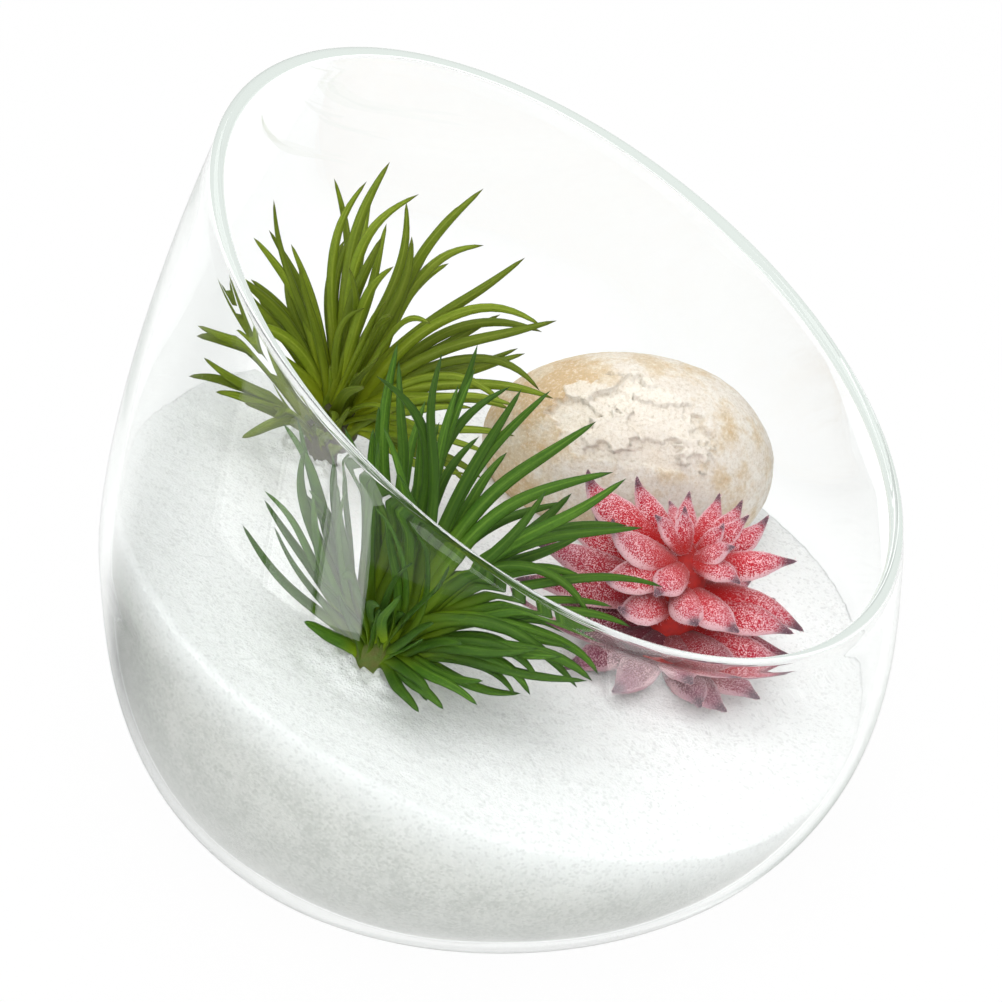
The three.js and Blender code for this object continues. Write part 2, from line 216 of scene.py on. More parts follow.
def ring_skin(name, rings):
    """A grid of squares rolled up through rings of points, all with the same number of points.
    A ring whose points all meet closes an end."""
    rings = np.asarray(rings, float)
    rows, sides = rings.shape[:2]
    bpy.ops.object.select_all(action="DESELECT")
    bpy.ops.mesh.primitive_grid_add(x_subdivisions=sides, y_subdivisions=rows - 1, size=2, calc_uvs=False)
    piece = new_piece(name)
    spots = read_points(piece) / 2 + 0.5
    column = np.rint(spots[:, 0] * sides).astype(int) % sides
    row = np.rint(spots[:, 1] * (rows - 1)).astype(int)
    write_points(piece, rings[row, column])
    close_skin(piece)
    return piece


def drawn_out(name, sides, sections):
    """A round body drawn up along Z from its first section. Each section is its height and its two
    half widths along X and Y, and the last one is pinched together."""
    bpy.ops.object.select_all(action="DESELECT")
    height, *half = sections[0]
    bpy.ops.mesh.primitive_circle_add(vertices=sides, radius=1, fill_type="NGON", calc_uvs=False)
    piece = new_piece(name)
    bpy.ops.object.mode_set(mode="EDIT")
    bpy.ops.mesh.select_all(action="SELECT")
    bpy.ops.transform.translate(value=(0, 0, height))
    bpy.ops.transform.resize(value=(*half, 1))
    for next_height, *next_half in sections[1:]:
        bpy.ops.mesh.extrude_region_move(TRANSFORM_OT_translate={"value": (0, 0, next_height - height)})
        bpy.ops.transform.resize(value=(next_half[0] / half[0], next_half[1] / half[1], 1))
        height, half = next_height, next_half
    bpy.ops.mesh.merge(type="CENTER")
    bpy.ops.object.mode_set(mode="OBJECT")
    close_skin(piece)
    return piece


def paint_attribute(piece, name, values):
    """A number for each vertex, which the piece's material reads."""
    layer = piece.data.attributes.new(name, "FLOAT", "POINT")
    layer.data.foreach_set("value", np.broadcast_to(values, len(piece.data.vertices)).astype(np.float32))


def dress(piece, material, node=None):
    """Gives a finished piece its material and its place on the frame, and, when given a node, hides that
    node's own part.
    """
    piece.data.materials.clear()
    piece.data.materials.append(material)
    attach(piece, "root")
    if node:
        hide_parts(node)


def unit(vectors):
    """One vector, or each row of several, brought to a length of 1."""
    return vectors / np.linalg.norm(vectors, axis=-1, keepdims=True)


def turned(vector, axis, angle):
    """`vector` turned about `axis` by each of the angles."""
    angle = np.atleast_1d(angle)[:, None]
    across = np.cross(axis, vector)
    along = axis * (axis @ vector)
    return vector * np.cos(angle) + across * np.sin(angle) + along * (1 - np.cos(angle))


def smooth_step(low, high, value):
    share = np.clip((value - low) / (high - low), 0, 1)
    return share * share * (3 - 2 * share)


def noise_at(points, scale, octaves=1):
    """Soft noise from -1 to 1 with features of about `scale`, at each point."""
    return np.array([
        noise.fractal(Vector(point) / scale, 0.6, 2.1, octaves, noise_basis="PERLIN_ORIGINAL")
        for point in points
    ])


# ---- Materials ----


class Signal:
    """An output of a shader node, on which Python's operators add Math nodes."""

    def __init__(self, finish, socket):
        self.finish = finish
        self.socket = socket

    def maths(self, operation, *values):
        return self.finish.node("ShaderNodeMath", {"operation": operation}, dict(enumerate(values)))

    def __add__(self, other):
        return self.maths("ADD", self, other)

    __radd__ = __add__

    def __sub__(self, other):
        return self.maths("SUBTRACT", self, other)

    def __rsub__(self, other):
        return self.maths("SUBTRACT", other, self)

    def __mul__(self, other):
        return self.maths("MULTIPLY", self, other)

    __rmul__ = __mul__

    def __pow__(self, other):
        return self.maths("POWER", self, other)

    def absolute(self):
        return self.maths("ABSOLUTE", self)

    def between(self, low, high):
        """0 below `low`, 1 above `high` and a smooth rise from one to the other."""
        return self.finish.node(
            "ShaderNodeMapRange",
            {"interpolation_type": "SMOOTHSTEP"},
            {"Value": self, "From Min": low, "From Max": high, "To Min": 0.0, "To Max": 1.0},
        )


class Finish:
    """The nodes of a material, or of the world."""

    def __init__(self, owner):
        self.owner = owner
        owner.use_nodes = True
        self.tree = owner.node_tree
        self.tree.nodes.clear()

    def node(self, kind, settings=None, inputs=None, output=0):
        made = self.tree.nodes.new(kind)
        for key, value in (settings or {}).items():
            setattr(made, key, value)
        for key, value in (inputs or {}).items():
            if isinstance(value, Signal):
                self.tree.links.new(value.socket, made.inputs[key])
            else:
                made.inputs[key].default_value = value
        return Signal(self, made.outputs[output])

    def place(self, scale=1.0):
        """Object coordinates, with 1 for each 1/scale metres."""
        spot = self.node("ShaderNodeTexCoord", output="Object")
        return self.node("ShaderNodeMapping", {}, {"Vector": spot, "Scale": (scale, scale, scale)})

    def noise(self, grain, detail=2.0, roughness=0.5, vector=None):
        """Noise from 0 to 1 with features of about `grain` metres."""
        return self.node("ShaderNodeTexNoise", {}, {
            "Vector": vector or self.place(1 / grain),
            "Scale": 1.0,
            "Detail": detail,
            "Roughness": roughness,
        })

    def cells(self, grain, output="Distance"):
        """Distance from the middle of grains of about `grain` metres."""
        inputs = {"Vector": self.place(1 / grain), "Scale": 1.0}
        return self.node("ShaderNodeTexVoronoi", {}, inputs, output)

    def attribute(self, name):
        return self.node("ShaderNodeAttribute", {"attribute_name": name}, output="Fac")

    def vector_maths(self, operation, *values, output="Value"):
        return self.node("ShaderNodeVectorMath", {"operation": operation}, dict(enumerate(values)), output)

    def ray(self, question):
        """What the Light Path node says of the ray."""
        return self.node("ShaderNodeLightPath", output=question)

    def blend(self, factor, first, second):
        """A colour between two colours."""
        pair = {"Factor": factor, 6: with_alpha(first), 7: with_alpha(second)}
        return self.node("ShaderNodeMix", {"data_type": "RGBA"}, pair, output=2)

    def layered(self, base, *layers):
        """A base colour with other colours over it, each laid on by its own factor."""
        for factor, colour_over in layers:
            base = self.blend(factor, base, colour_over)
        return base

    def mix(self, factor, first, second):
        """A surface between two surfaces."""
        return self.node("ShaderNodeMixShader", {}, {0: factor, 1: first, 2: second})

    def glow(self, grey, strength=1.0):
        """A surface that shines evenly and mirrors nothing."""
        return self.node("ShaderNodeEmission", {}, {"Color": (grey, grey, grey, 1), "Strength": strength})

    def bump(self, height, distance, strength=1.0, normal=None):
        inputs = {"Height": height, "Distance": distance, "Strength": strength}
        if normal:
            inputs["Normal"] = normal
        return self.node("ShaderNodeBump", {}, inputs)

    def principled(self, **inputs):
        named = {name.replace("_", " ").title(): with_alpha(value) for name, value in inputs.items()}
        named = {name.replace("Ior", "IOR"): value for name, value in named.items()}
        return self.node("ShaderNodeBsdfPrincipled", {}, named)

    def done(self, shader, output="ShaderNodeOutputMaterial"):
        out = self.tree.nodes.new(output)
        self.tree.links.new(shader.socket, out.inputs["Surface"])
        return self.owner


def with_alpha(value):
    """A colour of three numbers gets its fourth; anything else stays."""
    if isinstance(value, (tuple, list)) or type(value).__name__ == "Color":
        if len(value) == 3:
            return (*value, 1.0)
    return value


def darker(tone, share):
    return tuple(share * part for part in tone)


def new_finish(name):
    return Finish(bpy.data.materials.new(name))


def clear_glass(tint):
    """Clear blown glass, which lets the lights reach what it holds. Light that its wall leads along
    many times over gives way to a painted pale glow, an emission on the glass like the glow at a real rim."""
    finish = new_finish("clear_glass")
    # Painted glow: an emission on the glass for rays reflected GUIDED_DEPTH times or more, in place of
    # light led along the wall
    led = finish.ray("Glossy Depth").between(GUIDED_DEPTH - 0.6, GUIDED_DEPTH - 0.4)
    glow = finish.blend(led, (0, 0, 0), PAINTED_GUIDED_GLOW)
    glass = finish.principled(
        base_color=tint, roughness=0.0, ior=1.46, transmission_weight=1.0,
        emission_color=glow, emission_strength=1.0,
    )
    through = finish.node("ShaderNodeBsdfTransparent", {}, {"Color": with_alpha(tint)})
    return finish.done(finish.mix(finish.ray("Is Shadow Ray"), glass, through))


def fine_sand(tone):
    """White sand: pale grains with a few grey ones, soft clumps, and a duller face on the glass that also
    carries painted shade, darker further below the top.
    """
    finish = new_finish("fine_sand")
    grains = finish.cells(0.5 * MM, "Color")
    grain_tone = finish.node("ShaderNodeSeparateXYZ", {}, {"Vector": grains})
    soft = finish.noise(2.6 * MM, 3.0)
    patches = finish.noise(9 * MM, 5.0, 0.65) * 0.75 + grain_tone * 0.25
    face = finish.blend(patches.between(0.3, 0.7), (0.64, 0.64, 0.61), (0.47, 0.48, 0.45))
    shade = finish.layered(
        tone,
        (grain_tone.between(0.7, 1.0) * 0.45, darker(tone, 0.7)),
        (soft.between(0.35, 0.75) * 0.2, darker(tone, 0.9)),
        # The face on the glass: duller where pressed on it, and darkened further down the side by painted
        # shade
        (finish.attribute("pressed") ** 0.6 * 0.8, face),
    )
    rough = finish.bump(finish.cells(0.45 * MM), 0.12 * MM, 0.7)
    clumped = finish.bump(finish.noise(1.1 * MM, 4.0, 0.65), 0.5 * MM, 0.5, rough)
    return finish.done(finish.principled(
        base_color=shade, roughness=0.95, specular_ior_level=0.2, normal=clumped,
    ))


def leaf_finish(name, tone, base_tone, tip_tone, streak_and_highlight_tone):
    """A satin leaf: paler at its root, with a painted highlight along its midrib, darker at its edges, dry
    at its tip.
    """
    finish = new_finish(name)
    along = finish.attribute("leaf_along")
    across = finish.attribute("leaf_across")
    leaf = finish.attribute("leaf_tone")
    dark = darker(tone, 0.45)
    streaks = finish.noise(1.0, 3.0, 0.6, finish.node("ShaderNodeCombineXYZ", {}, {
        "X": across * 3.0,
        "Y": along * 5.0,
        "Z": leaf * 40.0,
    }))
    mottle = finish.noise(0.6 * MM, 3.0, 0.6)
    rib_highlight = 1.0 - across.absolute().between(0.03, 0.22)
    body = finish.layered(
        tone,
        (streaks.between(0.4, 0.7) * 0.4, streak_and_highlight_tone),
        (mottle.between(0.45, 0.75) * 0.35, dark),
        (1.0 - along.between(0.0, 0.5), base_tone),
        # Painted highlight along the midrib, in the paler streak colour
        (rib_highlight * along.between(0.1, 0.4) * (mottle.between(0.3, 0.6) * 0.4 + 0.2), streak_and_highlight_tone),
        (across.absolute().between(0.8, 1.0) * 0.5, dark),
        (leaf.between(0.1, 1.0) * 0.6, dark),
        (along.between(0.93, 1.0) * 0.7, tip_tone),
    )
    fine = finish.bump(streaks, 0.1 * MM, 0.5)
    skin = finish.bump(mottle, 0.06 * MM, 0.6, fine)
    return finish.done(finish.principled(
        base_color=body, roughness=0.6, specular_ior_level=0.22, normal=skin,
    ))


def flocked(flesh, root_red_and_shade, flock):
    """Red flesh under pale flock, which is thick on the leaves' ends and missing between them. The roots'
    deeper red and the dark of the low and left leaves are partly painted shade, and the pale edges are
    partly a painted sheen.
    """
    finish = new_finish("flocked_leaf")
    along = finish.attribute("leaf_along")
    across = finish.attribute("leaf_across").absolute()
    leaf = finish.attribute("leaf_tone")
    speckle = finish.noise(0.27 * MM, 2.0, 0.75)
    # The dark of the low and left leaves: partly age and partly painted shade; the flock thins and the
    # tips' purple deepens with it
    aged_and_shaded = leaf.between(0.5, 0.95)
    patch = finish.noise(1.6 * MM, 3.0, 0.6).between(0.3, 0.7) * 0.06
    # More flock toward the ends and the edges; the pale edges are partly a painted sheen
    cover_and_sheen = patch + along.between(0.2, 0.8) * 0.06 + across.between(0.7, 1.0) * 0.16
    dots = (speckle + cover_and_sheen).between(0.58, 0.65) * along.between(0.2, 0.55)
    dusk = along.between(0.55, 0.85) * (0.25 + 0.35 * aged_and_shaded)
    body = finish.layered(
        # Deeper red at the roots, partly painted shade in the core
        root_red_and_shade,
        (along.between(0.15, 0.65), flesh),
        (aged_and_shaded * 0.9, (0.075, 0.006, 0.018)),
        (dots * (0.85 - 0.3 * aged_and_shaded), flock),
        (dusk, (0.22, 0.07, 0.12)),
        (along.between(0.8, 0.93) * 0.9, (0.09, 0.055, 0.075)),
    )
    fuzz = finish.bump(speckle, 0.2 * MM, 1.0)
    return finish.done(finish.principled(
        base_color=body, roughness=0.85, specular_ior_level=0.15, sheen_weight=0.35,
        sheen_roughness=0.5, sheen_tint=(1.0, 0.85, 0.88), normal=fuzz,
    ))


def plain_core(name, tone, spread):
    """The short core that the leaves grow from."""
    finish = new_finish(name)
    shade = finish.blend(finish.noise(1.2 * MM, 4.0).between(0.3, 0.7), tone, spread)
    rough = finish.bump(finish.noise(0.6 * MM, 3.0), 0.2 * MM, 0.7)
    return finish.done(finish.principled(base_color=shade, roughness=0.75, normal=rough))


def worn_stone(tone):
    """A beige pebble with tan stains, heavier on its left and low side partly as painted shade, fine
    speckle, a paler broken patch and painted shade in the clefts between its flakes.
    """
    finish = new_finish("worn_stone")
    # Stains, with a bias toward the left and low side that is partly painted shade
    stains_and_shade = finish.noise(11 * MM, 6.0, 0.66) + finish.attribute("stained")
    clouds = finish.noise(4 * MM, 6.0, 0.7)
    grains = finish.noise(0.7 * MM, 5.0, 0.75)
    shade = finish.layered(
        tone,
        (clouds.between(0.4, 0.62) * 0.7, (0.9, 0.87, 0.8)),
        (stains_and_shade.between(0.46, 0.62) * 0.75, (0.68, 0.53, 0.33)),
        (stains_and_shade.between(0.6, 0.7) * 0.6, (0.62, 0.4, 0.18)),
        (finish.attribute("broken") * 0.8, (0.9, 0.84, 0.74)),
        # Painted shade: a little darker brown in the clefts between flakes
        (finish.attribute("cleft") * 0.15, (0.55, 0.4, 0.25)),
        (grains.between(0.5, 0.66) * 0.4, (0.5, 0.42, 0.3)),
        (grains.between(0.5, 0.36) * 0.4, (0.95, 0.92, 0.86)),
    )
    pits = finish.bump(grains, 0.35 * MM, 1.0)
    grit = finish.bump(finish.noise(2.2 * MM, 5.0, 0.7), 0.5 * MM, 0.6, pits)
    return finish.done(finish.principled(
        base_color=shade, roughness=1.0, specular_ior_level=0.1, normal=grit,
    ))


# ---- Bowl ----


def outer_radius(bowl, height):
    drop = np.clip((bowl.belly_height - height) / bowl.lower_reach, 0, None)
    rise = np.clip((height - bowl.belly_height) / bowl.upper_reach, 0, None)
    lower = (1 - drop ** bowl.lower_power) ** (1 / bowl.lower_power)
    return bowl.belly_radius * lower * (1 - rise ** bowl.upper_power)


def wall_point(bowl, height, depth):
    """Radius and height of the place `depth` in from the outside of the wall."""
    step = 0.05 * MM
    slope = (outer_radius(bowl, height + step) - outer_radius(bowl, height - step)) / (2 * step)
    normal = np.hypot(1, slope)
    return outer_radius(bowl, height) - depth / normal, height + depth * slope / normal


def station_at(bowl, height, depth):
    """The station on the outside whose place at `depth` lies at `height`."""
    station = height
    for _ in range(40):
        station = station + height - wall_point(bowl, station, depth)[1]
    return station


def rim_height(bowl, angle):
    height = bowl.mouth_height + 0 * angle
    for _ in range(60):
        height = bowl.mouth_height - bowl.mouth_slope * outer_radius(bowl, height) * np.cos(angle)
    return height


def ring_points(radius, angle, height):
    radius, angle, height = np.broadcast_arrays(radius, angle, height)
    return np.stack([radius * np.cos(angle), radius * np.sin(angle), height], axis=1)


def climb(low, high, share):
    """A station between two others, with the shares crowded toward the low one."""
    return low + (high - low) * share ** 1.3


def wall_waves(bowl, angle, height):
    """The blown wall's own unevenness, on its inside."""
    low = np.sin(3 * angle + 40 * height) + 0.7 * np.sin(5 * angle - 90 * height + 1)
    high = 0.35 * np.sin(11 * angle + 130 * height + 2)
    return bowl.waviness * (low + high) / 2


def bowl_rings(bowl, sides=192, wall_rows=60, bead_steps=14):
    angle = 2 * np.pi * np.arange(sides) / sides
    rim = rim_height(bowl, angle) - bowl.rim_radius
    foot_radius = outer_radius(bowl, 0.0) - bowl.heel_radius
    floor_station = station_at(bowl, bowl.floor, bowl.wall)
    rings = [ring_points(foot_radius * share, angle, 0.0) for share in (0, 0.5, 0.9, 1)]
    for turn in np.linspace(0.2, 0.8, 4):
        low, high = (1 - turn) ** 2, turn ** 2
        bend = 2 * turn * (1 - turn)
        radius = low * foot_radius + bend * outer_radius(bowl, 0.0)
        radius += high * outer_radius(bowl, bowl.heel_radius)
        rings.append(ring_points(radius, angle, high * bowl.heel_radius))
    for share in np.linspace(0, 1, wall_rows, endpoint=False):
        radius, height = wall_point(bowl, climb(bowl.heel_radius, rim, share), 0.0)
        rings.append(ring_points(radius, angle, height))
    out_radius, out_height = wall_point(bowl, rim, 0.0)
    in_radius, in_height = wall_point(bowl, rim, bowl.wall)
    middle_radius, middle_height = (out_radius + in_radius) / 2, (out_height + in_height) / 2
    across, rise = out_radius - in_radius, out_height - in_height
    reach = bowl.rim_radius / np.hypot(across, rise)
    for turn in np.linspace(0, np.pi, bead_steps + 1):
        radius = middle_radius + reach * (across * np.cos(turn) - rise * np.sin(turn))
        height = middle_height + reach * (rise * np.cos(turn) + across * np.sin(turn))
        rings.append(ring_points(radius, angle, height))
    for share in np.linspace(1, 0, wall_rows + 1)[1:]:
        station = climb(floor_station, rim, share)
        fade = smooth_step(0, 0.12, share) * smooth_step(1, 0.9, share)
        depth = bowl.wall + fade * wall_waves(bowl, angle, station)
        radius, height = wall_point(bowl, station, depth)
        rings.append(ring_points(radius, angle, height))
    floor_radius = wall_point(bowl, floor_station, bowl.wall)[0]
    rings += [ring_points(floor_radius * share, angle, bowl.floor) for share in (0.9, 0.5, 0)]
    return rings


class TERRARIUM_OT_bowl(bpy.types.Operator):
    """Blow the bowl: one closed skin from the foot over the rim's bead to the inside of the floor"""

    bl_idname = "terrarium.bowl"
    bl_label = "Glass Bowl"

    def execute(self, context):
        bowl = context.scene.terrarium_bowl
        piece = ring_skin("blown_bowl", bowl_rings(bowl))
        dress(piece, clear_glass(bowl.tint), "glass_bowl")
        return {"FINISHED"}


# ---- Sand ----


def sand_height(sand, x, y):
    swell = sand.swell * np.sin(x / (9 * MM) + 1) * np.cos(y / (11 * MM))
    return sand.level - sand.fall_x * x - sand.fall_y * y + sand.twist * x * y + swell


# The sand is heaped round each plant, out to this far from its root plug, and its edge on the glass
# is ragged. Where it is pressed on the glass, it grows duller and takes painted shade between these depths
# below its top.
HEAP_REACH = 8 * MM
HEAP_HEIGHT = 2.4 * MM
RAGGED_EDGE = 0.35 * MM
PRESSED_SHADE_DEPTHS = (0.8 * MM, 16 * MM)


def sand_relief(points, plants):
    """Soft clumps all over, and a low heap thrown up round each plant."""
    relief = 0.22 * MM * noise_at(points, 3.4 * MM, 3) + 0.1 * MM * noise_at(points, 1.3 * MM, 2)
    for plant in plants:
        away = np.hypot(points[:, 0] - plant.foot[0], points[:, 1] - plant.foot[1])
        near = smooth_step(plant.plug_radius + HEAP_REACH, plant.plug_radius, away)
        relief += near * (HEAP_HEIGHT + 1.5 * MM * noise_at(points, 2.0 * MM, 4))
    return relief


def sand_rings(bowl, sand, plants, sides=360, wall_rows=34, top_rows=100):
    angle = 2 * np.pi * np.arange(sides) / sides
    depth = bowl.wall + sand.gap
    bottom = station_at(bowl, bowl.floor + sand.gap, depth)
    edge = sand.level + 0 * angle
    for _ in range(80):
        radius, height = wall_point(bowl, edge, depth)
        edge = edge + 0.6 * (sand_height(sand, radius * np.cos(angle), radius * np.sin(angle)) - height)
    edge_radius = wall_point(bowl, edge, depth)[0]
    ragged = RAGGED_EDGE * noise_at(ring_points(edge_radius, angle, 0.0), 1.4 * MM, 3)
    edge = edge + ragged
    floor_radius, floor_height = wall_point(bowl, bottom, depth)
    rings = [ring_points(floor_radius * share, angle, floor_height) for share in (0, 0.5, 0.95)]
    for share in np.linspace(0, 1, wall_rows + 1):
        radius, height = wall_point(bowl, climb(bottom, edge, share), depth)
        rings.append(ring_points(radius, angle, height))
    rim = rings[-1]
    for share in np.linspace(1, 0, top_rows + 1)[1:]:
        ring = rim * [share, share, 0]
        settled = smooth_step(1, 0.95, share)
        relief = settled * sand_relief(ring, plants) + (1 - settled) * ragged
        ring[:, 2] = sand_height(sand, ring[:, 0], ring[:, 1]) + relief
        rings.append(ring)
    rings[-1][:, 2] = rings[-1][:, 2].mean()
    return rings


class TERRARIUM_OT_sand(bpy.types.Operator):
    """Fill the bowl with its sloping bed of sand"""

    bl_idname = "terrarium.sand"
    bl_label = "Sand Bed"

    def execute(self, context):
        sand = context.scene.terrarium_sand
        plants = (OLIVE_TUFT, GREEN_TUFT, RED_ROSETTE)
        piece = ring_skin("sand", sand_rings(context.scene.terrarium_bowl, sand, plants))
        x, y, z = read_points(piece).T
        paint_attribute(piece, "pressed", smooth_step(*PRESSED_SHADE_DEPTHS, sand_height(sand, x, y) - z))
        dress(piece, fine_sand(sand.colour), "sand_bed")
        return {"FINISHED"}


# ---- Plants ----

# `spread` scales SPREAD for a plant's leaves. `show` is how far they turn their upper faces from the
# plant's own axis to the shown side.
Plant = namedtuple("Plant", (
    "foot crown plug_radius plug_depth heart_radius top_radius root_radius first_leaf spread show fans"
))
Fan = namedtuple("Fan", "leaves clock lean length droop width low")
Habit = namedtuple("Habit", (
    "hook hook_middle sway base_thickness tip_thickness fat channel tone width length fillers scatter"
))
Bend = namedtuple("Bend", "length droop hook sway")

# How far one leaf may differ from its fan's own even spread, from end to end: angles in degrees,
# length and width as shares.
SPREAD = {"clock": 7, "lean": 9, "length": 0.1, "droop": 10, "width": 0.2, "twist": 24}

FIRST_FILLER = 1000  # the short leaves' numbers lie past those of the fans' own leaves
HASH = (12.9898, 78.233, 43758.5453)  # factors for a draw from a sine

# A fan spreads its leaves evenly between two ends, each pair holding its first and last leaf's
# value in degrees and millimetres. `low` is where the leaves start, from the crown at 0 to the foot.
OLIVE_TUFT = Plant(
    foot=np.array([-42.2, 7.6, 55.1]) * MM,
    crown=np.array([-38, 11.2, 66.8]) * MM,
    plug_radius=4.5 * MM,
    plug_depth=12 * MM,
    heart_radius=5 * MM,
    top_radius=4.2 * MM,
    root_radius=2.24 * MM,
    first_leaf=0,
    spread=1,
    show=0.45,
    fans=(
        Fan(6, (-12, 31), (26, 24), (42, 50), (12, 6), (2.6, 3.4), 0),
        Fan(4, (4, 36), (4, -2), (40, 44), (14, 10), (2.5, 2.8), 0),
        Fan(6, (32, 56), (26, 26), (48, 43), (46, 60), (2.8, 2.9), 0.1),
        Fan(6, (68, 112), (38, 34), (42, 30), (26, 6), (2.9, 2.6), 0.25),
        Fan(5, (-6, 34), (44, 50), (34, 37), (8, 8), (2.5, 2.5), 0.1),
        Fan(4, (-14, -32), (26, 34), (38, 34), (18, 20), (2.8, 3.4), 0.1),
        Fan(2, (-24, -28), (36, 40), (36, 35), (56, 46), (3, 4.6), 0.2),
        Fan(2, (-60, -70), (24, 26), (29, 30), (6, 4), (3.2, 3.2), 0.4),
        Fan(4, (70, -84), (58, 60), (30, 27), (36, 30), (2.6, 2.8), 0.3),
        Fan(4, (-62, 56), (44, 48), (20, 20), (8, 8), (3.6, 3.6), 0.6),
    ),
)

GREEN_TUFT = Plant(
    foot=np.array([-5.3, -43.5, 48.5]) * MM,
    crown=np.array([-3.4, -41.4, 55.4]) * MM,
    plug_radius=5 * MM,
    plug_depth=12 * MM,
    heart_radius=5.6 * MM,
    top_radius=4.6 * MM,
    root_radius=2.52 * MM,
    first_leaf=60,
    spread=1,
    show=0.45,
    fans=(
        Fan(2, (-52, -38), (14, 4), (33, 33), (-18, -12), (3, 2.8), 0.5),
        Fan(4, (-36, -20), (22, 24), (44, 38), (-22, -16), (3, 3.4), 0.3),
        Fan(4, (10, 26), (16, 20), (52, 56), (-26, -46), (2.8, 2.9), 0),
        Fan(4, (14, 30), (2, -4), (43, 52), (-18, -20), (2.7, 2.9), 0),
        Fan(3, (24, 36), (8, 10), (48, 52), (2, 10), (3, 3.2), 0),
        Fan(6, (30, 54), (18, 14), (52, 50), (42, 58), (3.4, 3.2), 0.1),
        Fan(7, (56, 98), (20, 30), (45, 27), (54, 18), (3.4, 3.2), 0.4),
        Fan(3, (98, 132), (46, 58), (25, 19), (16, 4), (3.6, 3.2), 0.5),
        Fan(2, (58, 38), (42, 46), (40, 36), (-84, -70), (3.2, 3), 0.3),
        Fan(3, (46, 34), (30, 26), (38, 46), (124, 112), (3.2, 3), 0.2),
        Fan(4, (-34, 40), (52, 54), (30, 34), (10, 10), (3, 2.8), 0.3),
        Fan(5, (-52, 72), (48, 46), (18, 20), (8, 10), (3.8, 3.8), 0.62),
        Fan(4, (-44, -8), (40, 26), (36, 46), (-10, -24), (2.4, 2.6), 0.5),
        Fan(2, (-14, 2), (14, 34), (40, 44), (-26, 10), (2.4, 2.6), 0.25),
    ),
)

RED_ROSETTE = Plant(
    foot=np.array([31, 4.5, 31.5]) * MM,
    crown=np.array([34.6, 8.6, 53.8]) * MM,
    plug_radius=5 * MM,
    plug_depth=9 * MM,
    heart_radius=5.8 * MM,
    top_radius=3.4 * MM,
    root_radius=1.7 * MM,
    first_leaf=120,
    spread=0.4,
    show=0.6,
    fans=(
        Fan(3, (-40, 44), (44, 34), (12, 9), (0, 0), (4.2, 3.6), 0),
        Fan(2, (66, 118), (46, 42), (11, 12), (0, 0), (4.6, 5), 0.05),
        Fan(2, (-36, 44), (-6, 10), (17, 13), (-10, 10), (5, 4.2), 0.08),
        Fan(4, (-14, 50), (-44, -30), (15, 16), (0, -16), (4.4, 5), 0.1),
        Fan(2, (70, 88), (-24, 12), (18, 19), (-26, -8), (5.6, 6), 0.14),
        Fan(2, (-47, -62), (4, 44), (25, 23), (4, 0), (7.8, 7), 0.16),
        Fan(2, (-124, -98), (60, 38), (13.5, 20), (0, 0), (6.4, 7), 0.14),
        Fan(2, (156, 128), (64, 50), (15, 18), (0, 0), (7, 7), 0.34),
        Fan(2, (98, 105), (-28, 2), (19, 23), (4, 10), (6.4, 7.4), 0.36),
        Fan(2, (-52, -61), (-34, -12), (23, 25), (0, 0), (6.6, 6.8), 0.34),
        Fan(2, (-67, -75), (12, 18), (28, 30), (0, 6), (7.4, 7.2), 0.46),
        Fan(2, (-100, 106), (50, 14), (17, 21), (0, 0), (7, 7), 0.46),
        Fan(2, (103, 108), (6, 18), (22, 23), (0, 4), (6, 7), 0.7),
        Fan(2, (125, 160), (46, 52), (20, 17), (-8, -10), (7.4, 7), 0.74),
        Fan(3, (-84, -138), (20, 42), (25, 22), (0, -6), (7.2, 7.6), 0.72),
        Fan(4, (108, 160), (17, 44), (23, 19), (-10, -16), (7, 7), 0.87),
        Fan(4, (-70, 76), (-44, -44), (20, 20), (0, 0), (6.6, 6.6), 0.5),
        Fan(3, (-34, 56), (-60, -62), (19, 19), (-8, -10), (6.4, 6.4), 0.68),
    ),
)


def draw(leaf, number):
    """A draw from 0 to 1, the same for the same leaf and number."""
    wide = math.sin(leaf * HASH[0] + number * HASH[1]) * HASH[2]
    return wide - math.floor(wide)


def lerp(pair, part):
    return pair[0] + (pair[1] - pair[0]) * part


def seen_direction(clock, lean):
    """`clock` is the angle from upright on the face of a clock, `lean` the angle toward the viewer."""
    clock, lean = math.radians(clock), math.radians(lean)
    flat = SHOWN_RIGHT * math.sin(clock) + SHOWN_UP * math.cos(clock)
    return flat * math.cos(lean) + SHOWN_FRONT * math.sin(lean)


def bent_frames(start, direction, side, bend, steps=48):
    """Places along a leaf that leaves in `direction`, droops toward the ground all along, hooks near
    its tip and sways a little to its side: shares of the length, places, directions and sides."""
    share = np.linspace(0, 1, steps + 1)
    down_axis = unit(np.cross(direction, -UP))
    hook = smooth_step(0.65, 1, share)
    angle = np.radians(bend.droop * share + bend.hook * hook)
    forward = turned(direction, down_axis, angle)
    across = turned(side, down_axis, angle)
    sway = np.radians(bend.sway) * np.sin(share * np.pi * 1.5)
    forward = forward * np.cos(sway)[:, None] + across * np.sin(sway)[:, None]
    middles = (forward[1:] + forward[:-1]) / 2
    places = np.vstack([start, start + np.cumsum(middles * bend.length / steps, axis=0)])
    across = across - forward * np.sum(across * forward, axis=1, keepdims=True)
    return share, places, forward, unit(across)


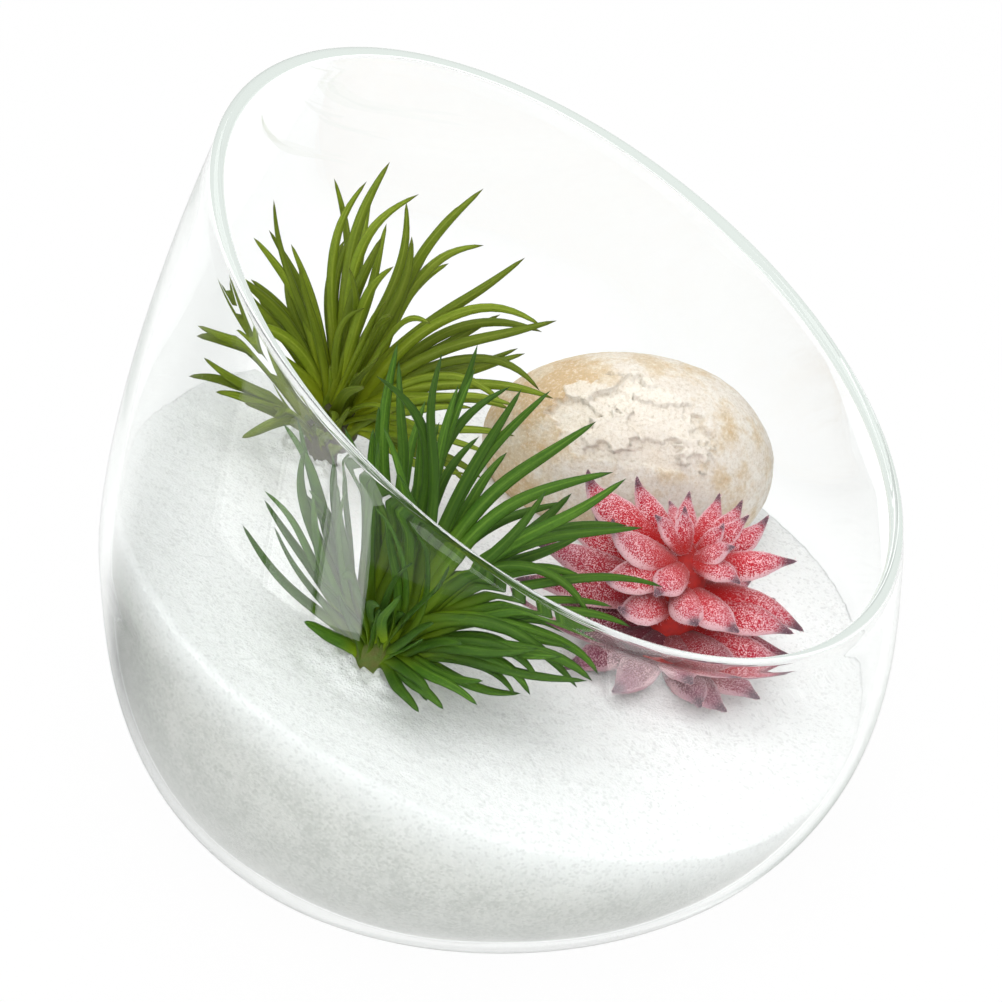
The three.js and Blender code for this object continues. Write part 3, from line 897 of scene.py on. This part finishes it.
def carry_leaf(template, frames, half_width, thickness, channel):
    """A copy of an upright leaf whose points (across, lift, along) are carried to the bent frames.
    Across is in half widths, lift in half thicknesses and along from 0 to 1."""
    share, places, forward, sides = frames
    across, lift, along = read_points(template).T

    def follow(rows):
        return np.stack([np.interp(along, share, rows[:, axis]) for axis in range(3)], axis=1)

    side = follow(sides)
    face = np.cross(side, follow(forward))
    raised = lift * lerp(thickness, along) / 2 + channel * half_width * across ** 2
    leaf = template.copy()
    leaf.data = template.data.copy()
    bpy.context.collection.objects.link(leaf)
    write_points(leaf, follow(places) + side * (across * half_width)[:, None] - face * raised[:, None])
    return leaf


def leaf_template(name, sides, outline, rows=24):
    """An upright leaf from 0 to 1 along Z; `outline` lists height, half width and half thickness."""
    stations, widths, depths = np.array(outline).T
    heights = np.linspace(0, 1, rows)
    sections = zip(heights, np.interp(heights, stations, widths), np.interp(heights, stations, depths))
    leaf = drawn_out(name, sides, list(sections))
    across, _, along = read_points(leaf).T
    paint_attribute(leaf, "leaf_along", along)
    paint_attribute(leaf, "leaf_across", across / np.interp(along, stations, widths))
    return leaf


def joined(name, leaves, template):
    bpy.data.objects.remove(template)
    select_only(*leaves)
    bpy.ops.object.join()
    return new_piece(name)


def plant_leaf(plant, template, fan, part, leaf, habit):
    """One leaf of a fan. `habit` holds how its kind hooks, sways and thickens, its share of the fan's
    own width and length, and how far it is scattered."""
    axis = unit(plant.crown - plant.foot)

    def vary(name, number):
        return (draw(leaf, number) - 0.5) * SPREAD[name] * plant.spread

    direction = seen_direction(
        lerp(fan.clock, part) + vary("clock", 1) * habit.scatter,
        lerp(fan.lean, part) + vary("lean", 2) * habit.scatter,
    )
    outward = unit(direction - axis * (direction @ axis))
    start = plant.crown + (plant.foot - plant.crown) * fan.low + outward * plant.root_radius
    side = unit(np.cross(direction, lerp((axis, SHOWN_FRONT), plant.show)))
    side = turned(side, direction, math.radians(vary("twist", 6)))[0]
    bend = Bend(
        length=lerp(fan.length, part) * (1 + vary("length", 3)) * habit.length * MM,
        droop=lerp(fan.droop, part) + vary("droop", 4),
        hook=habit.hook * (draw(leaf, 7) - habit.hook_middle),
        sway=habit.sway * (draw(leaf, 8) - 0.5),
    )
    half_width = lerp(fan.width, part) * (1 + vary("width", 5)) * habit.width * MM / 2
    thickness = (habit.base_thickness, habit.tip_thickness)
    if habit.fat:
        thickness = (2 * half_width, 2 * half_width)
    frames = bent_frames(start, direction, side, bend)
    piece = carry_leaf(template, frames, half_width, thickness, habit.channel)
    paint_attribute(piece, "leaf_tone", habit.tone(fan, draw(leaf, 9)))
    return piece


def plant_leaves(name, plant, template, habit):
    """The fans' own leaves, and with `fillers` above 0 a shorter leaf between each two of them."""
    leaves = []

    def grow(fewer, shift, first, kind):
        """Leaves along each fan, by so many fewer than its own, shifted by a share of their spacing."""
        for fan in plant.fans:
            for number in range(fan.leaves - fewer):
                part = (number + shift) / (fan.leaves - 1)
                leaves.append(plant_leaf(plant, template, fan, part, first + len(leaves), kind))

    grow(0, 0, plant.first_leaf, habit)
    if habit.fillers:
        grow(1, 0.5, FIRST_FILLER, habit._replace(length=habit.fillers, scatter=3))
    return joined(name, leaves, template)


def strap_leaves(settings, name, plant):
    template = leaf_template("strap_leaf", 14, [
        (0, 1.8, 1), (0.08, 1.6, 1), (0.2, 1.32, 1), (0.4, 1.15, 1), (0.65, 1.05, 1),
        (0.8, 0.86, 0.95), (0.9, 0.6, 0.85), (0.96, 0.38, 0.7), (0.99, 0.2, 0.5), (1, 0.08, 0.3),
    ])
    habit = Habit(
        hook=60, hook_middle=0.4, sway=34,
        base_thickness=settings.base_thickness, tip_thickness=settings.tip_thickness,
        fat=False, channel=settings.channel, tone=lambda fan, chance: chance,
        width=0.66, length=1.0, fillers=0.78, scatter=1,
    )
    return plant_leaves(name, plant, template, habit)


def stand_on(piece, plant):
    """Turns an upright piece onto the plant's own axis, with its zero at the foot."""
    axis = unit(plant.crown - plant.foot)
    side = unit(np.cross(axis, UP))
    other = np.cross(axis, side)
    across, lift, along = read_points(piece).T
    write_points(piece, plant.foot + np.outer(across, side) + np.outer(lift, other) + np.outer(along, axis))


def heart(name, plant):
    """The short body that the leaves grow from, with its root plug in the sand."""
    height = np.linalg.norm(plant.crown - plant.foot)
    plug, depth, radius, top = plant.plug_radius, plant.plug_depth, plant.heart_radius, plant.top_radius
    profile = (
        (-depth, plug * 0.7),
        (-depth * 0.5, plug),
        (2 * MM, plug),
        (height * 0.35, radius * 0.9),
        (height * 0.55, radius),
        (height * 0.92, top),
        (height + 0.8 * MM, top * 0.5),
        (height + 1.1 * MM, top * 0.1),
    )
    body = drawn_out(name, 40, [(station, wide, wide) for station, wide in profile])
    stand_on(body, plant)
    return body


def grow_tuft(settings, kind, plant, leaf_tones, root_tones):
    """A tuft of one kind, olive or green: its leaves, and the heart that they grow from."""
    leaves = strap_leaves(settings, f"{kind}_leaves", plant)
    dress(leaves, leaf_finish(f"{kind}_leaf", *leaf_tones), f"{kind}_tuft")
    dress(heart(f"{kind}_heart", plant), plain_core(f"{kind}_root", *root_tones))


class TERRARIUM_OT_olive_tuft(bpy.types.Operator):
    """Grow the olive tuft at the back left"""

    bl_idname = "terrarium.olive_tuft"
    bl_label = "Olive Tuft"

    def execute(self, context):
        settings = context.scene.terrarium_tuft
        leaf_tones = (settings.olive, (0.26, 0.32, 0.008), (0.06, 0.06, 0.012), (0.3, 0.37, 0.04))
        # The olive heart's near-black brown is partly its own dark root and partly painted shade under its
        # leaves
        grow_tuft(settings, "olive", OLIVE_TUFT, leaf_tones, ((0.07, 0.075, 0.02), (0.05, 0.035, 0.02)))
        return {"FINISHED"}


class TERRARIUM_OT_green_tuft(bpy.types.Operator):
    """Grow the green tuft at the front"""

    bl_idname = "terrarium.green_tuft"
    bl_label = "Green Tuft"

    def execute(self, context):
        settings = context.scene.terrarium_tuft
        leaf_tones = (settings.green, (0.22, 0.33, 0.004), (0.03, 0.07, 0.02), (0.13, 0.26, 0.02))
        grow_tuft(settings, "green", GREEN_TUFT, leaf_tones, ((0.07, 0.12, 0.008), (0.1, 0.1, 0.015)))
        return {"FINISHED"}


# ---- Rosette ----

# The hairs' random draws, how far a root strays from its vertex, and how far a hair leans, as a
# share of its length
HAIR_SEED = 5
HAIR_STRAY = 0.12 * MM
HAIR_LEAN = 0.3


def flock_hairs(name, piece, count=30000, length=0.42 * MM, radius=0.035 * MM):
    """Short hairs that stand on the outside of `piece`, each one a cone of three sides."""
    bpy.ops.mesh.primitive_cone_add(vertices=3, radius1=radius, depth=length, location=(0, 0, 0))
    hairs = new_piece(name)
    repeat = hairs.modifiers.new("repeat", "ARRAY")
    repeat.count = count
    repeat.relative_offset_displace = (0, 0, 0)
    bpy.ops.object.modifier_apply(modifier=repeat.name)
    places = read_points(piece)
    chance = np.random.default_rng(HAIR_SEED)
    chosen = chance.integers(len(places), size=count)
    spots = places[chosen] + chance.normal(0, HAIR_STRAY, (count, 3))
    stems = unit(read_points(piece, "normal")[chosen] + chance.normal(0, HAIR_LEAN, (count, 3)))
    sides = unit(np.cross(stems, UP))
    others = np.cross(stems, sides)
    shape = read_points(hairs)
    hair = np.repeat(np.arange(count), len(shape) // count)
    across, beside, along = shape[:, :1], shape[:, 1:2], shape[:, 2:]
    write_points(hairs, spots[hair] + sides[hair] * across + others[hair] * beside + stems[hair] * along)
    return hairs


def age_and_shade(fan, chance):
    """How dark a leaf is, partly with age and partly with painted shade: the lower the darker, and most of
    all the fans at the far left.
    """
    return fan.low * (1.4 if max(fan.clock) < -60 else 0.9) + 0.15 * chance


class TERRARIUM_OT_rosette(bpy.types.Operator):
    """Grow the flocked red rosette"""

    bl_idname = "terrarium.rosette"
    bl_label = "Red Rosette"

    def execute(self, context):
        settings = context.scene.terrarium_rosette
        template = leaf_template("fat_leaf", 18, [
            (0, 0.6, 0.46), (0.2, 0.86, 0.6), (0.4, 1, 0.68), (0.55, 0.98, 0.62), (0.68, 0.8, 0.5),
            (0.78, 0.54, 0.36), (0.86, 0.32, 0.24), (0.93, 0.18, 0.16), (0.98, 0.09, 0.09), (1, 0.04, 0.04),
        ], rows=32)
        habit = Habit(
            hook=70, hook_middle=0.7, sway=14, base_thickness=0, tip_thickness=0, fat=True, channel=0.12,
            tone=age_and_shade, width=1.0, length=1.0, fillers=0, scatter=1,
        )
        whole = plant_leaves("rosette_leaves", RED_ROSETTE, template, habit)
        finish = flocked(settings.flesh, (0.44, 0.004, 0.002), settings.flock)
        dress(whole, finish, "red_rosette")
        # The core's dark red is partly painted shade among the leaves
        core = heart("rosette_core", RED_ROSETTE)
        dress(core, plain_core("rosette_flesh", (0.42, 0.012, 0.006), (0.3, 0.01, 0.01)))
        hairs = flock_hairs("flock_hairs", whole)
        dress(hairs, plain_core("flock_hair", (0.85, 0.55, 0.6), (0.8, 0.4, 0.46)))
        return {"FINISHED"}


# ---- Pebble ----

PEBBLE_MIDDLE = np.array([6.2, 45.3, 47.6]) * MM
PEBBLE_TILT = math.radians(13)
PEBBLE_SWELL = 0.07  # how much fuller it is at one end

# The broken patch, in shares of the pebble's half sizes, and the depth of its deepest flake
PATCH_MIDDLE = np.array([-0.1, -0.62, 0.62])
PATCH_SQUEEZE = np.array([0.9, 0.9, 1.3])
PATCH_DEPTH = 1.1 * MM


def flake_depths(units, scale):
    """Flat flakes with crisp edges: for each place, its flake's own draw and the way to its edge."""
    draws, edges = [], []
    for place in units:
        distances, middles = noise.voronoi(Vector(place) / scale)
        draws.append(noise.cell(middles[0] * 7.3))
        edges.append(distances[1] - distances[0])
    return np.array(draws), np.array(edges)


def pebble_relief(units):
    """The broken patch high on the shown face: how broken it is, how far it is a cleft between
    flakes, and how deep it is, for each place."""
    away = np.linalg.norm((units - PATCH_MIDDLE) * PATCH_SQUEEZE, axis=1)
    wander = np.stack([noise_at(units + shift, 0.16, 3) for shift in (1, 5, 9)], axis=1)
    ragged = 0.12 * noise_at(units, 0.2, 4)
    broken = smooth_step(0.5, 0.47, away + ragged)
    flake, edge = flake_depths(units + 0.06 * wander, 0.3)
    cleft = broken * smooth_step(0.06, 0.0, edge) * smooth_step(0.3, 0.6, flake)
    return broken, cleft, broken * (0.25 + 0.85 * flake + 0.12 * cleft + 0.06 * noise_at(units, 0.05, 3))


class TERRARIUM_OT_pebble(bpy.types.Operator):
    """Lay the oval pebble behind the rosette"""

    bl_idname = "terrarium.pebble"
    bl_label = "Pebble"

    def execute(self, context):
        settings = context.scene.terrarium_pebble
        bpy.ops.object.select_all(action="DESELECT")
        bpy.ops.mesh.primitive_uv_sphere_add(segments=420, ring_count=220, radius=1)
        piece = new_piece("pebble")
        units = read_points(piece)
        reach = np.array([settings.half_length, settings.half_depth, settings.half_height])
        swell = 1 + PEBBLE_SWELL * units[:, :1]
        broken, cleft, depth = pebble_relief(units)
        worn = 0.25 * MM * noise_at(units, 0.5, 3)
        pitted = 0.05 * MM * noise_at(units, 0.035, 2)
        grown = reach + (worn + pitted - PATCH_DEPTH * depth)[:, None]
        write_points(piece, units * grown * np.hstack([np.ones_like(swell), swell, swell]))
        paint_attribute(piece, "broken", broken)
        paint_attribute(piece, "cleft", cleft)
        # The stains' bias to the left and low side, partly painted shade
        left, low = smooth_step(0.2, -0.9, units[:, 0]), smooth_step(0.1, -0.8, units[:, 2])
        paint_attribute(piece, "stained", 0.16 * left + 0.1 * low)
        select_only(piece)
        piece.rotation_euler = (0, PEBBLE_TILT, math.radians(SHOWN_AZIMUTH))
        piece.location = PEBBLE_MIDDLE
        bpy.ops.object.transform_apply(location=True, rotation=True, scale=True)
        bpy.ops.object.shade_smooth()
        dress(piece, worn_stone(settings.colour), "river_stone")
        return {"FINISHED"}


# ---- Stage ----

# A dark card lies on the floor toward this azimuth and is seen only in the glass, where it keeps
# the leaves behind the front wall clear of haze.
CARD_AZIMUTH = -15
CARD_START = (0.04, 0.14)  # it fades in between these distances from the bowl's axis

# Soft boxes of even brightness. One that doesn't light is seen only in the glass, and one that
# doesn't shine is missing from it.
SoftBox = namedtuple("SoftBox", "name place aim_height width height radiance lights shines")
SOFT_BOXES = (
    SoftBox("left_wide", direction_of(-50, 0) * 0.5 + UP * 0.2, 0.09, 0.18, 0.4, 0.9, False, True),
    SoftBox("left_middle", direction_of(-32, 0) * 0.5 + UP * 0.2, 0.09, 0.14, 0.4, 2.0, False, True),
    SoftBox("left_near", direction_of(-17, 0) * 0.5 + UP * 0.2, 0.09, 0.12, 0.4, 3.4, False, True),
    SoftBox("right_box", direction_of(60, 0) * 0.3 + UP * 0.12, 0.06, 0.11, 0.24, 2.4, False, True),
    SoftBox("top_box", np.array([-0.15, 0.1, 1.1]), 0.05, 1.1, 1.1, 2.0, True, True),
    SoftBox("front_fill", direction_of(30, 38) * 1.1, 0.05, 0.9, 0.9, 2.3, True, False),
)


def reflected_once(finish):
    """1 for a ray that was reflected once, as by the inside of the glass on its way in."""
    reflections = finish.ray("Glossy Depth")
    return reflections.between(0.4, 0.6) - reflections.between(1.4, 1.6)


def plain_floor(studio):
    """A pale floor that loses its shadows where it is seen directly, is a little brighter through
    the glass, and holds the dark card."""
    finish = new_finish("plain_floor")
    lit = finish.principled(base_color=studio.floor_colour, roughness=0.9, specular_ior_level=0.1)
    bare = finish.mix(finish.ray("Is Camera Ray") * studio.floor_glow, lit, finish.glow(1))
    seen = finish.mix(finish.ray("Is Transmission Ray"), bare, finish.glow(1, studio.glass_gain))
    spot = finish.place()
    reach = finish.vector_maths("LENGTH", spot)
    outward = finish.vector_maths("NORMALIZE", spot, output="Vector")
    toward_card = finish.vector_maths("DOT_PRODUCT", outward, direction_of(CARD_AZIMUTH, 0))
    on_card = toward_card.between(0.1, 0.5) * reach.between(*CARD_START) * reflected_once(finish)
    return finish.done(finish.mix(on_card, seen, finish.glow(0)))


def add_light(box):
    """One soft box, turned toward a point on the bowl's axis and hidden from the camera."""
    bpy.ops.object.light_add(type="AREA", location=box.place)
    lamp = bpy.context.active_object
    lamp.name = box.name
    lamp.data.shape = "RECTANGLE"
    lamp.data.size = box.width
    lamp.data.size_y = box.height
    lamp.data.energy = box.radiance * math.pi * box.width * box.height
    lamp.rotation_mode = "QUATERNION"
    lamp.rotation_quaternion = Vector(UP * box.aim_height - box.place).to_track_quat("-Z", "Y")
    lamp.visible_camera = False
    lamp.visible_diffuse = box.lights
    lamp.visible_glossy = box.shines


class TERRARIUM_OT_stage(bpy.types.Operator):
    """Set up the camera, the plain floor and the soft lights"""

    bl_idname = "terrarium.stage"
    bl_label = "Studio"

    def execute(self, context):
        studio = context.scene.terrarium_studio
        bpy.ops.object.camera_add(location=UP * studio.aim_height + SHOWN_FRONT * studio.distance)
        camera = context.active_object
        camera.rotation_mode = "QUATERNION"
        camera.rotation_quaternion = Vector(-SHOWN_FRONT).to_track_quat("-Z", "Y")
        camera.data.lens = studio.lens
        context.scene.camera = camera

        bpy.ops.mesh.primitive_plane_add(size=12, location=(0, 0, 0))
        floor = new_piece("floor")
        floor.data.materials.append(plain_floor(studio))

        for box in SOFT_BOXES:
            add_light(box)

        sky = Finish(bpy.data.worlds.new("room"))
        strength = (1.0 - reflected_once(sky) * studio.sky_cut) * studio.sky_strength
        light = sky.node("ShaderNodeBackground", {}, {"Color": (1, 1, 1, 1), "Strength": strength})
        context.scene.world = sky.done(light, "ShaderNodeOutputWorld")
        context.scene.view_settings.view_transform = "Standard"
        return {"FINISHED"}


# ---- Add-on ----


class TERRARIUM_PT_parts(bpy.types.Panel):
    """Lists the terrarium's pieces and their sizes"""

    bl_label = "Terrarium"
    bl_idname = "TERRARIUM_PT_parts"
    bl_space_type = "VIEW_3D"
    bl_region_type = "UI"
    bl_category = "Terrarium"

    def draw(self, context):
        for operator, group in STEPS:
            box = self.layout.box()
            box.operator(operator.bl_idname)
            if group:
                settings = getattr(context.scene, group)
                for name in type(settings).__annotations__:
                    box.prop(settings, name, text=name.replace("_", " ").capitalize())


GROUPS = {
    "terrarium_bowl": BowlSettings,
    "terrarium_sand": SandSettings,
    "terrarium_tuft": TuftSettings,
    "terrarium_rosette": RosetteSettings,
    "terrarium_pebble": PebbleSettings,
    "terrarium_studio": StudioSettings,
}
STEPS = (
    (TERRARIUM_OT_stage, "terrarium_studio"),
    (TERRARIUM_OT_bowl, "terrarium_bowl"),
    (TERRARIUM_OT_sand, "terrarium_sand"),
    (TERRARIUM_OT_olive_tuft, "terrarium_tuft"),
    (TERRARIUM_OT_green_tuft, None),
    (TERRARIUM_OT_rosette, "terrarium_rosette"),
    (TERRARIUM_OT_pebble, "terrarium_pebble"),
)


def register():
    for name, group in GROUPS.items():
        bpy.utils.register_class(group)
        setattr(bpy.types.Scene, name, PointerProperty(type=group))
    for operator, _ in STEPS:
        bpy.utils.register_class(operator)
    bpy.utils.register_class(TERRARIUM_PT_parts)


def unregister():
    bpy.utils.unregister_class(TERRARIUM_PT_parts)
    for operator, _ in reversed(STEPS):
        bpy.utils.unregister_class(operator)
    for name, group in reversed(GROUPS.items()):
        delattr(bpy.types.Scene, name)
        bpy.utils.unregister_class(group)


def main():
    register()
    bpy.ops.terrarium.stage()
    bpy.ops.terrarium.bowl()
    bpy.ops.terrarium.sand()
    bpy.ops.terrarium.olive_tuft()
    bpy.ops.terrarium.green_tuft()
    bpy.ops.terrarium.rosette()
    bpy.ops.terrarium.pebble()


if __name__ == "__main__":
    main()
